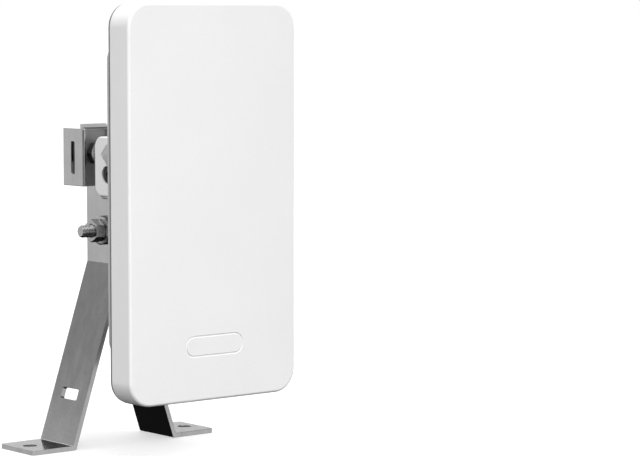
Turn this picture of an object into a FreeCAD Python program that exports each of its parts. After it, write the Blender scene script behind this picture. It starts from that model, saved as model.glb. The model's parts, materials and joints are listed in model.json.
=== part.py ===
"""Outdoor wireless bridge: a flat panel radio on a tilt-and-swivel bracket with two splayed steel legs.

Frame: +Z up, the panel faces -Y, +X to the panel's own left.  The origin is midway between the two
foot holes, on the underside of the feet.  All sizes are millimetres.
"""
import FreeCAD, Part
import math
import os

V = FreeCAD.Vector
X_AXIS = V(1, 0, 0)
Y_AXIS = V(0, 1, 0)
Z_AXIS = V(0, 0, 1)
LEFT, RIGHT = -1, 1

# ---- metric hardware: diameter, nut width, nut height, washer diameter, washer thickness
M8 = {"d": 8.0, "flats": 13.0, "nut": 6.8, "washer_d": 18.6, "washer_t": 3.0, "hole": 8.6}
M6 = {"d": 6.0, "flats": 10.0, "nut": 5.2, "washer_d": 12.0, "washer_t": 1.6, "hole": 6.4}
M5 = {"d": 5.0, "flats": 8.0, "nut": 4.0, "hole": 5.4}
JAM_NUT_H = 4.0
SPRING_WASHER_T = 2.2
RUN = 0.05              # radial clearance of a turning or sliding fit
FACE_GAP = 0.1          # gap between flat faces that turn past each other

# ---- legs
STRAP_W = 37.0
STRAP_T = 3.0
LEG_TOP = 178.0
LEG_BEND_Z = 115.0
FOOT_BEND_X = 39.0
FOOT_END_X = 70.4
FOOT_HOLE_X = 60.5
FOOT_HOLE_D = 9.0
BEND_IN_R = 0.6
BEND_OUT_R = 1.6
LEG_SLOT_Z = 33.0
LEG_SLOT_W = 17.6
LEG_SLOT_H = 7.2
LEDGE_Z = 163.6         # the channel stands on this step
TONGUE_Z = 156.0        # above here the strap is cut back to clear the knuckle
TONGUE_FRONT_Y = 3.0
LEG_BOLT_Z = 136.0
LEG_BOLT_END_X = -21.0
TAB_Z = (168.0, 175.0)  # tabs of the straps that key into the channel

# ---- clamp channel
WEB_Y = 12.6
CHANNEL_T = 3.0
CHANNEL_HALF_X = 10.8
CHANNEL_BACK_Y = 33.5
CHANNEL_TOP = 200.4
WEB_SETBACK = 1.6       # the walls stand forward of the web
CHANNEL_EDGE_R = 0.35
CHANNEL_BEND_R = 1.8    # outer front corners
BAND_SLOT_W = 4.1
BAND_SLOT_H = 21.0
BAND_SLOT_Y = 22.7
BAND_SLOT_Z = 181.6
LIP_T = 3.1
LIP_STEP = 1.0          # plain height of the lip under its sloped front
LIP_CREST = 0.6
LIP_PROUD = 0.6
LIP_HALF_X = 9.8

# ---- axes of the joint
AXIS_Z = 185.0
PIVOT_Y = -15.5
CLAMP_Z = 172.4

# ---- knuckle (fork)
KNUCKLE_HALF_X = 11.0
KNUCKLE_SLOT_HALF_X = 6.0
KNUCKLE_BACK_Y = -2.0
KNUCKLE_FRONT_Y = -29.0
KNUCKLE_WALL = 5.2
KNUCKLE_Z = (158.6, 196.3)
KNUCKLE_CORNER_R = 7.0
NECK_D = 15.0
NECK_Y = 0.5
BIG_WASHER_D = 20.8
BIG_WASHER_T = 1.5
SMALL_WASHER_D = 13.8
PIVOT_HEAD_W = 9.4      # square head, set corner up in a square pocket
PIVOT_HEAD_T = 2.1
PIVOT_RECESS = 1.6
PIVOT_RECESS_D = 13.0   # round recess for the washer on the nut side
CLAMP_RECESS_D = 11.2
CLAMP_RECESS = 3.2
CLAMP_HEAD_D = 10.7

# ---- tilt arm
TONGUE_HALF_X = 4.9
TONGUE_R = 8.0
BEAM_HALF_X = 9.0
BEAM_START_Y = -42.0
ARM_PLATE_T = 4.0
ARM_PLATE = (48.0, 56.0)
ARM_SCREWS = (17.0, 21.0)
ARM_SCREW_D = 4.0

# ---- panel
PANEL_HALF_X = 63.0
PANEL_Z = (39.4, 280.4)
PANEL_FRONT_Y = -112.5
SEAM_Y = -92.0
BACK_Y = -83.5
CORNER_R = 15.0
FRONT_EDGE_R = 1.8
WALL = 2.5
LEDGE_WALL = 4.6        # wall thickness in front of the gasket
GASKET_Y = (-96.2, -94.7)
TRIM_Y = (-93.6, -92.0)  # soft trim let into the outer rear edge of the front cover
TRIM_INSET = (0.25, 1.35)
PLATE_T = 2.6
TUB_HALF_X = 59.2
TUB_Z = (66.0, 258.0)
TUB_CORNER_R = 12.0
TUB_EDGE_R = 2.4
BAY_HALF_X = 30.0
BAY_FLOOR_Y = -103.4
BAY_WALL = 2.0
JACK_X = (-10.0, 10.0)
JACK = (16.0, 12.0, 20.0)        # width, height off the board, depth
JACK_MOUTH = (11.8, 7.6, 14.5)
JACK_MOUTH_UP = 6.4              # mouth's centre above the board
SEAL_T = 1.0
BUTTON_X = 24.0
BUTTON_D = 4.4
BUTTON_TRAVEL = 0.8
VENT_X = -24.0
SCREW_X = 54.0
SCREW_Z = (56.5, 266.6)
BOSS_D = 7.6
GROUND_X = 40.0
BADGE_HALF_X = 22.0     # blank badge outlined by a groove low on the front
BADGE_Z = (66.5, 79.5)
BADGE_GROOVE_W = 1.0
BADGE_GROOVE_D = 0.5

# ---- inside the panel
BOARD_Y = (-101.6, -100.0)
BOARD_HALF_X = 44.0
BOARD_Z = (69.5, 196.0)
REFLECTOR_Y = (-104.8, -103.9)
REFLECTOR_Z = (74.0, 258.0)
REFLECTOR_HALF_X = 46.0
ANTENNA_Y = (-107.6, -106.8)
ANTENNA_Z = (84.0, 252.0)
ANTENNA_HALF_X = 41.0
PATCH = 24.0
PATCH_T = 0.3
PATCH_COLUMNS = (-20.0, 20.0)
PATCH_ROWS = (105.0, 147.0, 189.0, 231.0)
SPACER_D = 5.0
LIGHT_X = (-16.0, -8.0, 0.0, 8.0, 16.0)
LIGHT_Z = 98.0
LIGHT_D = 3.0


# ---- shape helpers
def box(x, y, z):
    """Box between two limits on each axis."""
    corner = V(min(x), min(y), min(z))
    return Part.makeBox(abs(x[1] - x[0]), abs(y[1] - y[0]), abs(z[1] - z[0]), corner)


def rod(diameter, start, direction, length):
    return Part.makeCylinder(diameter / 2, length, start, direction)


def ring(outer_d, inner_d, start, direction, length):
    return rod(outer_d, start, direction, length).cut(rod(inner_d, start, direction, length))


def hexagon(flats, start, direction, length, bore=0.0):
    """Hexagonal prism with its corners bevelled, as a nut or a bolt head."""
    corners = flats / math.sqrt(3) * 2
    circle = Part.makeCircle(corners / 2, start, direction)
    points = circle.discretize(7)
    prism = Part.Face(Part.makePolygon(points)).extrude(direction * length)
    bevel = (corners - flats) / 2 * 0.9
    inner = Part.makeCone(corners / 2 - bevel, corners / 2 + bevel, bevel * 2, start, direction)
    far = start + direction * length
    outer = Part.makeCone(corners / 2 - bevel, corners / 2 + bevel, bevel * 2, far, direction * -1)
    middle = rod(corners + 1, start + direction * bevel, direction, length - bevel * 2)
    prism = prism.common(inner.fuse([middle, outer]))
    if bore:
        prism = prism.cut(rod(bore, start, direction, length))
    return prism.removeSplitter()


def rounded_plate(half_x, z, y, radius):
    """Plate in the XZ plane with rounded corners, between two Y values."""
    plate = box((-half_x, half_x), y, z)
    upright = [e for e in plate.Edges if abs(e.tangentAt(e.FirstParameter).y) > 0.99]
    return plate.makeFillet(radius, upright)


def edges_on_plane(shape, axis, value):
    """Edges that lie wholly at one value of x, y or z."""
    found = []
    for edge in shape.Edges:
        bounds = edge.BoundBox
        low = getattr(bounds, axis.upper() + "Min")
        high = getattr(bounds, axis.upper() + "Max")
        if abs(low - value) < 1e-4 and abs(high - value) < 1e-4:
            found.append(edge)
    return found


def spring_washer(hole_d, outer_d, start, direction, split):
    """Flat coil with one cut across it."""
    coil = ring(outer_d, hole_d, start, direction, SPRING_WASHER_T)
    return coil.cut(split)


def save(name, *solids):
    shape = solids[0] if len(solids) == 1 else Part.makeCompound(list(solids))
    shape.exportStep("parts/" + name + ".step")


# ---- legs
def leg_profile():
    """Outline of the bent strap in the XZ plane: upright, slope, foot."""
    slope = math.atan2(FOOT_BEND_X - STRAP_T / 2, LEG_BEND_Z - STRAP_T / 2)
    upper_shift = STRAP_T * math.tan(slope / 2)
    foot_shift = STRAP_T * math.tan((math.pi / 2 - slope) / 2)
    half_foot = foot_shift / 2
    return [
        (0, LEG_TOP),
        (STRAP_T, LEG_TOP),
        (STRAP_T, LEG_BEND_Z + upper_shift / 2),
        (FOOT_BEND_X + half_foot, STRAP_T),
        (FOOT_END_X, STRAP_T),
        (FOOT_END_X, 0),
        (FOOT_BEND_X - half_foot, 0),
        (0, LEG_BEND_Z - upper_shift / 2),
    ]


def bent_strap():
    """Right-hand strap with rounded bends, before its holes."""
    points = [V(x, -STRAP_W / 2, z) for x, z in leg_profile()]
    strap = Part.Face(Part.makePolygon(points + points[:1])).extrude(Y_AXIS * STRAP_W)
    inside = (points[3], points[7])
    outside = (points[2], points[6])
    for corners, radius in ((inside, BEND_IN_R), (outside, BEND_OUT_R)):
        bends = []
        for edge in strap.Edges:
            middle = edge.CenterOfMass
            if any(abs(middle.x - c.x) + abs(middle.z - c.z) < 0.01 for c in corners):
                bends.append(edge)
        strap = strap.makeFillet(radius, bends)
    tips = []
    for edge in strap.Edges:
        bounds = edge.BoundBox
        if bounds.XMin > FOOT_END_X - 0.01 and bounds.ZLength > STRAP_T - 0.1:
            tips.append(edge)
    return strap.makeFillet(2.0, tips)


def leg_cutters():
    half = STRAP_W / 2
    rear_step = box((-1, 9), (WEB_Y, half + 1), (LEDGE_Z, LEG_TOP + 1))
    tab = box((-1, 9), (WEB_Y - 1, WEB_Y + CHANNEL_T), TAB_Z)
    front_step = box((-1, 9), (-half - 1, TONGUE_FRONT_Y), (TONGUE_Z, LEG_TOP + 1))
    upright = [e for e in front_step.Edges if abs(e.tangentAt(e.FirstParameter).x) > 0.99]
    corner = [e for e in upright if e.BoundBox.ZMax < TONGUE_Z + 0.1 and e.BoundBox.YMin > 0]
    front_step = front_step.makeFillet(3.0, corner)
    foot_hole = rod(FOOT_HOLE_D, V(FOOT_HOLE_X, 0, -1), Z_AXIS, STRAP_T + 2)
    bolt_hole = rod(M8["hole"], V(-1, 0, LEG_BOLT_Z), X_AXIS, STRAP_T + 2)
    slot = box((-9, 9), (-LEG_SLOT_W / 2, LEG_SLOT_W / 2), (-LEG_SLOT_H / 2, LEG_SLOT_H / 2))
    across = [e for e in slot.Edges if abs(e.tangentAt(e.FirstParameter).x) > 0.99]
    slot = slot.makeFillet(1.2, across)
    slope = math.degrees(math.atan2(FOOT_BEND_X, LEG_BEND_Z))
    slot.rotate(V(0, 0, 0), Y_AXIS, -slope)
    slot_x = FOOT_BEND_X * (1 - LEG_SLOT_Z / LEG_BEND_Z) + STRAP_T / 2
    slot.translate(V(slot_x, 0, LEG_SLOT_Z))
    return [rear_step.cut(tab), front_step, foot_hole, bolt_hole, slot]


def legs():
    right = bent_strap().cut(leg_cutters()).removeSplitter()
    left = right.mirror(V(0, 0, 0), X_AXIS)
    save("right_leg", right)
    save("left_leg", left)


def leg_fasteners():
    """Cross bolt that clamps the two straps together, its head on the +X side."""
    face = STRAP_T + M8["washer_t"]
    head_h = 5.3
    shank = rod(M8["d"], V(LEG_BOLT_END_X, 0, LEG_BOLT_Z), X_AXIS, face - LEG_BOLT_END_X)
    shank = shank.makeChamfer(0.8, edges_on_plane(shank, "x", LEG_BOLT_END_X))
    head = hexagon(M8["flats"], V(face, 0, LEG_BOLT_Z), X_AXIS, head_h)
    save("leg_bolt", shank.fuse(head).removeSplitter())
    nut = hexagon(M8["flats"], V(-face, 0, LEG_BOLT_Z), X_AXIS * -1, M8["nut"], M8["d"])
    save("leg_nut", nut)
    washers = []
    for side in (LEFT, RIGHT):
        start = V(side * STRAP_T, 0, LEG_BOLT_Z)
        washers.append(ring(M8["washer_d"], M8["d"], start, X_AXIS * side, M8["washer_t"]))
    save("leg_washers", *washers)


# ---- clamp channel
def clamp_channel():
    """Two flat walls joined by a web that sits a little behind their front edges."""
    z = (LEDGE_Z, CHANNEL_TOP)
    outer = box((-CHANNEL_HALF_X, CHANNEL_HALF_X), (WEB_Y - WEB_SETBACK, CHANNEL_BACK_Y), z)
    upright = [e for e in outer.Edges if e.BoundBox.ZLength > 1]
    bends = [e for e in upright if e.BoundBox.YMax < WEB_Y]
    outer = outer.makeFillet(CHANNEL_BEND_R, bends)
    rims = [e for e in outer.Edges if e.BoundBox.ZLength < 0.01 or e.BoundBox.YMin > WEB_Y]
    outer = outer.makeFillet(CHANNEL_EDGE_R, rims)
    half_in = CHANNEL_HALF_X - CHANNEL_T
    web_back = WEB_Y + CHANNEL_T
    past_z = (LEDGE_Z - 1, CHANNEL_TOP + 1)
    behind = box((-half_in, half_in), (web_back, CHANNEL_BACK_Y + 1), past_z)
    before = box((-half_in, half_in), (WEB_Y - WEB_SETBACK - 1, WEB_Y), past_z)
    lip_y = (WEB_Y - LIP_PROUD, web_back)
    lip_outline = [
        V(-LIP_HALF_X, lip_y[0], CHANNEL_TOP - 1),
        V(-LIP_HALF_X, lip_y[0], CHANNEL_TOP + LIP_STEP),
        V(-LIP_HALF_X, lip_y[1] - LIP_CREST, CHANNEL_TOP + LIP_T),
        V(-LIP_HALF_X, lip_y[1], CHANNEL_TOP + LIP_T),
        V(-LIP_HALF_X, lip_y[1], CHANNEL_TOP - 1),
    ]
    lip = Part.Face(Part.makePolygon(lip_outline + lip_outline[:1])).extrude(X_AXIS * LIP_HALF_X * 2)
    channel = outer.cut([behind, before]).fuse(lip)
    slot_y = (BAND_SLOT_Y - BAND_SLOT_W / 2, BAND_SLOT_Y + BAND_SLOT_W / 2)
    slot_z = (BAND_SLOT_Z - BAND_SLOT_H / 2, BAND_SLOT_Z + BAND_SLOT_H / 2)
    slot = box((-20, 20), slot_y, slot_z)
    slot = slot.makeFillet(1.0, [e for e in slot.Edges if e.BoundBox.XLength > 1])
    key_x = (-STRAP_T - FACE_GAP, STRAP_T + FACE_GAP)
    key = box(key_x, (WEB_Y - 1, web_back + 1), (TAB_Z[0] - FACE_GAP, TAB_Z[1] + FACE_GAP))
    hole = rod(M8["hole"], V(0, WEB_Y - 1, AXIS_Z), Y_AXIS, CHANNEL_T + 2)
    save("clamp_channel", channel.cut([slot, key, hole]).removeSplitter())


# ---- swivel: bolt, washers and nuts along Y
def swivel_bolt():
    """Countersunk bolt whose head lies flush in the fork's back wall."""
    head_y = KNUCKLE_BACK_Y - KNUCKLE_WALL
    head_h = 4.0
    end_y = WEB_Y + CHANNEL_T + JAM_NUT_H + 0.6
    cone = Part.makeCone(M8["d"], M8["d"] / 2, head_h, V(0, head_y, AXIS_Z), Y_AXIS)
    shank = rod(M8["d"], V(0, head_y + head_h, AXIS_Z), Y_AXIS, end_y - head_y - head_h)
    shank = shank.makeChamfer(0.5, edges_on_plane(shank, "y", end_y))
    socket = hexagon(5.0, V(0, head_y - 1, AXIS_Z), Y_AXIS, 3.6)
    save("swivel_bolt", cone.fuse(shank).cut(socket).removeSplitter())


def swivel_stack():
    """Washers and nut from the fork to the channel, and a thin lock nut behind the channel's web."""
    y = NECK_Y + FACE_GAP
    big = ring(BIG_WASHER_D, M8["d"], V(0, y, AXIS_Z), Y_AXIS, BIG_WASHER_T)
    y = y + BIG_WASHER_T
    split = box((0, 9), (y - 1, y + 4), (AXIS_Z - 0.6, AXIS_Z + 0.6))
    split.rotate(V(0, y, AXIS_Z), Y_AXIS, 60)
    coil = spring_washer(M8["d"], 14.0, V(0, y, AXIS_Z), Y_AXIS, split)
    y = y + SPRING_WASHER_T
    nut_y = WEB_Y - M8["nut"]
    small = ring(SMALL_WASHER_D, M8["d"], V(0, y, AXIS_Z), Y_AXIS, nut_y - y)
    save("swivel_washers", big, small)
    save("swivel_spring_washer", coil)
    front_nut = hexagon(M8["flats"], V(0, nut_y, AXIS_Z), Y_AXIS, M8["nut"], M8["d"])
    rear_start = V(0, WEB_Y + CHANNEL_T, AXIS_Z)
    rear_nut = hexagon(M8["flats"], rear_start, Y_AXIS, JAM_NUT_H, M8["d"])
    save("swivel_nuts", front_nut, rear_nut)


# ---- knuckle: fork that swivels on the bolt and carries the tilt pivot
def square_head(width, thickness):
    """Square prism about the pivot, corner up, standing on the floor of the pocket in the -X cheek."""
    seat = KNUCKLE_HALF_X - PIVOT_RECESS
    half = width / 2
    head = box((-seat - thickness, -seat), (PIVOT_Y - half, PIVOT_Y + half), (AXIS_Z - half, AXIS_Z + half))
    head.rotate(V(0, PIVOT_Y, AXIS_Z), X_AXIS, 45)
    return head


def knuckle():
    body = box((-KNUCKLE_HALF_X, KNUCKLE_HALF_X), (KNUCKLE_FRONT_Y, KNUCKLE_BACK_Y), KNUCKLE_Z)
    body = body.makeFillet(KNUCKLE_CORNER_R, [e for e in body.Edges if e.BoundBox.XLength > 1])
    rims = edges_on_plane(body, "x", -KNUCKLE_HALF_X) + edges_on_plane(body, "x", KNUCKLE_HALF_X)
    body = body.makeFillet(1.0, rims)
    neck = rod(NECK_D, V(0, KNUCKLE_BACK_Y - 1, AXIS_Z), Y_AXIS, NECK_Y - KNUCKLE_BACK_Y + 1)
    wall_y = KNUCKLE_BACK_Y - KNUCKLE_WALL
    slot_x = (-KNUCKLE_SLOT_HALF_X, KNUCKLE_SLOT_HALF_X)
    slot = box(slot_x, (KNUCKLE_FRONT_Y - 1, wall_y), (KNUCKLE_Z[0] - 1, KNUCKLE_Z[1] + 1))
    bore = rod(M8["d"] + RUN * 2, V(0, wall_y - 1, AXIS_Z), Y_AXIS, 20)
    head = Part.makeCone(M8["d"] + RUN, M8["d"] / 2 + RUN, 4.0, V(0, wall_y, AXIS_Z), Y_AXIS)
    pivot = rod(M6["hole"], V(-20, PIVOT_Y, AXIS_Z), X_AXIS, 40)
    clamp = rod(M5["hole"], V(-20, PIVOT_Y, CLAMP_Z), X_AXIS, 40)
    cutters = [slot, bore, head, pivot, clamp]
    cutters.append(square_head(PIVOT_HEAD_W + FACE_GAP * 2, PIVOT_RECESS + 1))
    cutters.append(rod(PIVOT_RECESS_D, V(KNUCKLE_HALF_X, PIVOT_Y, AXIS_Z), X_AXIS * -1, PIVOT_RECESS))
    for side in (LEFT, RIGHT):
        start = V(side * KNUCKLE_HALF_X, PIVOT_Y, CLAMP_Z)
        cutters.append(rod(CLAMP_RECESS_D, start, X_AXIS * -side, CLAMP_RECESS))
    save("knuckle", body.fuse(neck).cut(cutters).removeSplitter())


def pivot_fasteners():
    seat = KNUCKLE_HALF_X - PIVOT_RECESS
    axis = V(0, PIVOT_Y, AXIS_Z)
    head = square_head(PIVOT_HEAD_W, PIVOT_HEAD_T)
    nut_x = seat + M6["washer_t"]
    end_x = nut_x + M6["nut"] + 1.4
    shank = rod(M6["d"], axis - X_AXIS * seat, X_AXIS, seat + end_x)
    shank = shank.makeChamfer(0.6, edges_on_plane(shank, "x", end_x))
    save("pivot_bolt", head.fuse(shank).removeSplitter())
    save("pivot_nut", hexagon(M6["flats"], axis + X_AXIS * nut_x, X_AXIS, M6["nut"], M6["d"]))
    save("pivot_washer", ring(M6["washer_d"], M6["d"], axis + X_AXIS * seat, X_AXIS, M6["washer_t"]))
    spacers = []
    for side in (LEFT, RIGHT):
        inner = TONGUE_HALF_X + FACE_GAP
        start = axis + X_AXIS * (side * inner)
        spacers.append(ring(13.0, M6["d"], start, X_AXIS * side, KNUCKLE_SLOT_HALF_X - inner))
    save("friction_washers", *spacers)


def clamp_fasteners():
    """Screw that squeezes the fork's cheeks onto the tongue."""
    seat = KNUCKLE_HALF_X - CLAMP_RECESS
    axis = V(0, PIVOT_Y, CLAMP_Z)
    head_h = 2.6
    head = rod(CLAMP_HEAD_D, axis - X_AXIS * seat, X_AXIS * -1, head_h)
    head = head.makeFillet(1.0, edges_on_plane(head, "x", -seat - head_h))
    socket = hexagon(3.0, axis - X_AXIS * (seat + head_h + 1), X_AXIS, 2.6)
    shank = rod(M5["d"], axis - X_AXIS * seat, X_AXIS, seat * 2 + CLAMP_RECESS)
    save("clamp_screw", head.fuse(shank).cut(socket).removeSplitter())
    save("clamp_nut", hexagon(M5["flats"], axis + X_AXIS * seat, X_AXIS, M5["nut"], M5["d"]))


# ---- tilt arm: tongue, beam and plate
def tilt_arm():
    eye = rod(TONGUE_R * 2, V(-TONGUE_HALF_X, PIVOT_Y, AXIS_Z), X_AXIS, TONGUE_HALF_X * 2)
    beam_z = (AXIS_Z - TONGUE_R, AXIS_Z + TONGUE_R)
    plate_y = BACK_Y + ARM_PLATE_T
    tongue = box((-TONGUE_HALF_X, TONGUE_HALF_X), (plate_y, PIVOT_Y), beam_z)
    outline = [
        V(-TONGUE_HALF_X, BEAM_START_Y + 4, AXIS_Z),
        V(-BEAM_HALF_X, BEAM_START_Y - 6, AXIS_Z),
        V(-BEAM_HALF_X - 2, plate_y - 1, AXIS_Z),
        V(BEAM_HALF_X + 2, plate_y - 1, AXIS_Z),
        V(BEAM_HALF_X, BEAM_START_Y - 6, AXIS_Z),
        V(TONGUE_HALF_X, BEAM_START_Y + 4, AXIS_Z),
    ]
    beam = Part.Face(Part.makePolygon(outline + outline[:1])).extrude(Z_AXIS * TONGUE_R * 2)
    beam.translate(Z_AXIS * -TONGUE_R)
    half_z = ARM_PLATE[1] / 2
    plate_z = (AXIS_Z - half_z, AXIS_Z + half_z)
    plate = rounded_plate(ARM_PLATE[0] / 2, plate_z, (BACK_Y, plate_y), 6.0)
    plate = plate.makeFillet(1.2, edges_on_plane(plate, "y", plate_y))
    gussets = []
    for end in (LEFT, RIGHT):
        rib = [
            V(-2, BACK_Y + 1, AXIS_Z + end * (half_z - 5)),
            V(-2, plate_y, AXIS_Z + end * (half_z - 5)),
            V(-2, BEAM_START_Y - 8, AXIS_Z + end * (TONGUE_R - 1)),
            V(-2, BACK_Y + 1, AXIS_Z + end * (TONGUE_R - 1)),
        ]
        gussets.append(Part.Face(Part.makePolygon(rib + rib[:1])).extrude(X_AXIS * 4))
    arm = eye.fuse([tongue, beam, plate] + gussets).removeSplitter()
    pockets = []
    for side in (LEFT, RIGHT):
        x = (side * 2.4, side * 20)
        pockets.append(box(x, (BEAM_START_Y - 8, plate_y + 4), (AXIS_Z - 5.4, AXIS_Z + 5.4)))
    bush_hole = rod(9.0, V(-20, PIVOT_Y, AXIS_Z), X_AXIS, 40)
    holes = [rod(4.4, V(x, BACK_Y - 1, z), Y_AXIS, 9) for x, z in arm_screw_places()]
    save("tilt_arm", arm.cut(pockets + [bush_hole] + holes).removeSplitter())
    start = V(-TONGUE_HALF_X, PIVOT_Y, AXIS_Z)
    save("pivot_bush", ring(9.0, M6["d"] + RUN * 2, start, X_AXIS, TONGUE_HALF_X * 2))


def arm_screw_places():
    across, up = ARM_SCREWS
    return [(x, AXIS_Z + z) for x in (-across, across) for z in (-up, up)]


def pan_screw(place, direction, head_d, shank_d, length):
    """Pan-head screw: place is the seat of its head, direction points out of the head."""
    head_h = head_d * 0.35
    head = rod(head_d, place, direction, head_h)
    rim = [e for e in head.Edges if (e.CenterOfMass - place).dot(direction) > head_h - 0.01]
    head = head.makeFillet(head_h * 0.6, rim)
    shank = rod(shank_d, place, direction * -1, length)
    cross = place + direction * (head_h - 1.0)
    arms = []
    for half_x, half_z in ((0.5, head_d * 0.28), (head_d * 0.28, 0.5)):
        arm_x = (cross.x - half_x, cross.x + half_x)
        arm_z = (cross.z - half_z, cross.z + half_z)
        arms.append(box(arm_x, (cross.y, cross.y + 3), arm_z))
    return head.fuse(shank).cut(arms).removeSplitter()


def arm_screws():
    seat = BACK_Y + ARM_PLATE_T
    screws = []
    for x, z in arm_screw_places():
        screws.append(pan_screw(V(x, seat, z), Y_AXIS, 8.0, ARM_SCREW_D, 9.0))
    save("arm_screws", *screws)


# ---- panel covers
def cover_screw_places():
    corners = [(x, z) for x in (-SCREW_X, SCREW_X) for z in SCREW_Z]
    return corners + [(0.0, SCREW_Z[1] + 2.0)]


def bay_box(grow=0.0):
    """Space of the cable bay at the foot of the panel, open downwards and to the rear."""
    x = (-BAY_HALF_X - grow, BAY_HALF_X + grow)
    return box(x, (BAY_FLOOR_Y - grow, SEAM_Y + 1), (PANEL_Z[0] - 5, TUB_Z[0] + grow))


def front_cover():
    y = (PANEL_FRONT_Y, SEAM_Y)
    shell = rounded_plate(PANEL_HALF_X, PANEL_Z, y, CORNER_R)
    shell = shell.makeFillet(FRONT_EDGE_R, edges_on_plane(shell, "y", PANEL_FRONT_Y))

    def hollow(wall, y_limits):
        z = (PANEL_Z[0] + wall, PANEL_Z[1] - wall)
        return rounded_plate(PANEL_HALF_X - wall, z, y_limits, CORNER_R - wall)

    shell = shell.cut(hollow(LEDGE_WALL, (PANEL_FRONT_Y + WALL, GASKET_Y[0] + 0.01)))
    shell = shell.cut(hollow(WALL, (GASKET_Y[0], SEAM_Y + 1)))
    rabbet_y = (TRIM_Y[0], SEAM_Y + 1)
    rabbet = rounded_plate(PANEL_HALF_X + 1, (PANEL_Z[0] - 1, PANEL_Z[1] + 1), rabbet_y, CORNER_R + 1)
    shell = shell.cut(rabbet.cut(hollow(TRIM_INSET[1], (TRIM_Y[0] - 1, SEAM_Y + 2))))
    skin_z = (PANEL_Z[0] - 1, PANEL_Z[0] + WALL + 0.1)
    notch = box((-BAY_HALF_X, BAY_HALF_X), (BAY_FLOOR_Y, SEAM_Y + 1), skin_z)
    bay_out = BAY_HALF_X + BAY_WALL + 0.2
    bay_y = (BAY_FLOOR_Y - BAY_WALL - 0.2, SEAM_Y + 1)
    bay_notch = box((-bay_out, bay_out), bay_y, (PANEL_Z[0] + WALL, PANEL_Z[0] + LEDGE_WALL + 1))
    bosses = []
    pilots = []
    for x, z in cover_screw_places():
        start = V(x, PANEL_FRONT_Y + WALL - 0.5, z)
        bosses.append(rod(BOSS_D, start, Y_AXIS, SEAM_Y - PLATE_T - 0.1 - start.y))
        pilots.append(rod(3.0, V(x, SEAM_Y - 14, z), Y_AXIS, 14))
    cutters = pilots + [notch, bay_notch, badge_groove()]
    save("front_cover", shell.fuse(bosses).cut(cutters).removeSplitter())


def badge_groove():
    """Groove round a blank badge with round ends."""
    def pill(inset, y):
        z = (BADGE_Z[0] + inset, BADGE_Z[1] - inset)
        radius = (z[1] - z[0]) / 2 - 0.01
        return rounded_plate(BADGE_HALF_X - inset, z, y, radius)

    groove_y = (PANEL_FRONT_Y - 1, PANEL_FRONT_Y + BADGE_GROOVE_D)
    wide_y = (groove_y[0] - 1, groove_y[1] + 1)
    return pill(0, groove_y).cut(pill(BADGE_GROOVE_W, wide_y))


def rear_plate():
    gap = WALL + 0.2
    z = (PANEL_Z[0] + gap, PANEL_Z[1] - gap)
    return rounded_plate(PANEL_HALF_X - gap, z, (SEAM_Y - PLATE_T, SEAM_Y), CORNER_R - gap)


def rear_cover():
    tub = rounded_plate(TUB_HALF_X, TUB_Z, (SEAM_Y - 1, BACK_Y), TUB_CORNER_R)
    tub = tub.makeFillet(TUB_EDGE_R, edges_on_plane(tub, "y", BACK_Y))
    inner_z = (TUB_Z[0] + WALL, TUB_Z[1] - WALL)
    inner_y = (SEAM_Y - PLATE_T - 1, BACK_Y - WALL)
    inner = rounded_plate(TUB_HALF_X - WALL, inner_z, inner_y, TUB_CORNER_R - WALL)
    grow = BAY_WALL
    bay_top = TUB_Z[0]
    bay_z = (PANEL_Z[0] + WALL + 0.2, bay_top + grow)
    bay_outer = box((-BAY_HALF_X - grow, BAY_HALF_X + grow), (BAY_FLOOR_Y - grow, SEAM_Y), bay_z)
    cover = rear_plate().fuse(tub).cut(inner).fuse(bay_outer).cut(bay_box())
    posts = [rod(9.0, V(x, BACK_Y - 8, z), Y_AXIS, 7) for x, z in arm_screw_places()]
    cover = cover.fuse(posts)
    holes = [rod(3.4, V(x, SEAM_Y - 5, z), Y_AXIS, 8) for x, z in cover_screw_places()]
    holes += [rod(ARM_SCREW_D, V(x, BACK_Y - 10, z), Y_AXIS, 12) for x, z in arm_screw_places()]
    for x in JACK_X:
        half = JACK_MOUTH[0] / 2 + 0.3
        mouth_y = BOARD_Y[1] + JACK_MOUTH_UP
        half_y = JACK_MOUTH[1] / 2 + 0.3
        mouth_z = (TUB_Z[0] - 1, TUB_Z[0] + WALL + 1)
        holes.append(box((x - half, x + half), (mouth_y - half_y, mouth_y + half_y), mouth_z))
    port_y = BOARD_Y[1] + JACK_MOUTH_UP
    wall_start = TUB_Z[0] - 1
    holes.append(rod(BUTTON_D + RUN * 2, V(BUTTON_X, port_y, wall_start), Z_AXIS, 5))
    holes.append(rod(6.0, V(VENT_X, port_y, wall_start), Z_AXIS, 5))
    holes.append(rod(3.4, V(GROUND_X, SEAM_Y - 5, SCREW_Z[0]), Y_AXIS, 8))
    holes += [rod(LIGHT_D, V(x, BACK_Y - 5, LIGHT_Z), Y_AXIS, 8) for x in LIGHT_X]
    save("rear_cover", cover.cut(holes).removeSplitter())


def cover_gasket():
    outer_gap = WALL + 0.2
    inner_gap = LEDGE_WALL

    def loop(gap, y):
        z = (PANEL_Z[0] + gap, PANEL_Z[1] - gap)
        return rounded_plate(PANEL_HALF_X - gap, z, y, CORNER_R - gap)

    wide = (GASKET_Y[0] - 1, GASKET_Y[1] + 1)
    gasket = loop(outer_gap, GASKET_Y).cut([loop(inner_gap, wide), bay_box(BAY_WALL + 0.1)])
    save("cover_gasket", gasket)
    past = (TRIM_Y[0] - 1, TRIM_Y[1] + 1)
    trim = loop(TRIM_INSET[0], TRIM_Y).cut([loop(TRIM_INSET[1], past), bay_box(FACE_GAP)])
    save("seam_trim", trim)


def cover_screws():
    screws = []
    for x, z in cover_screw_places():
        screws.append(pan_screw(V(x, SEAM_Y, z), Y_AXIS, 6.2, 3.0, 10.0))
    save("cover_screws", *screws)


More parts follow.
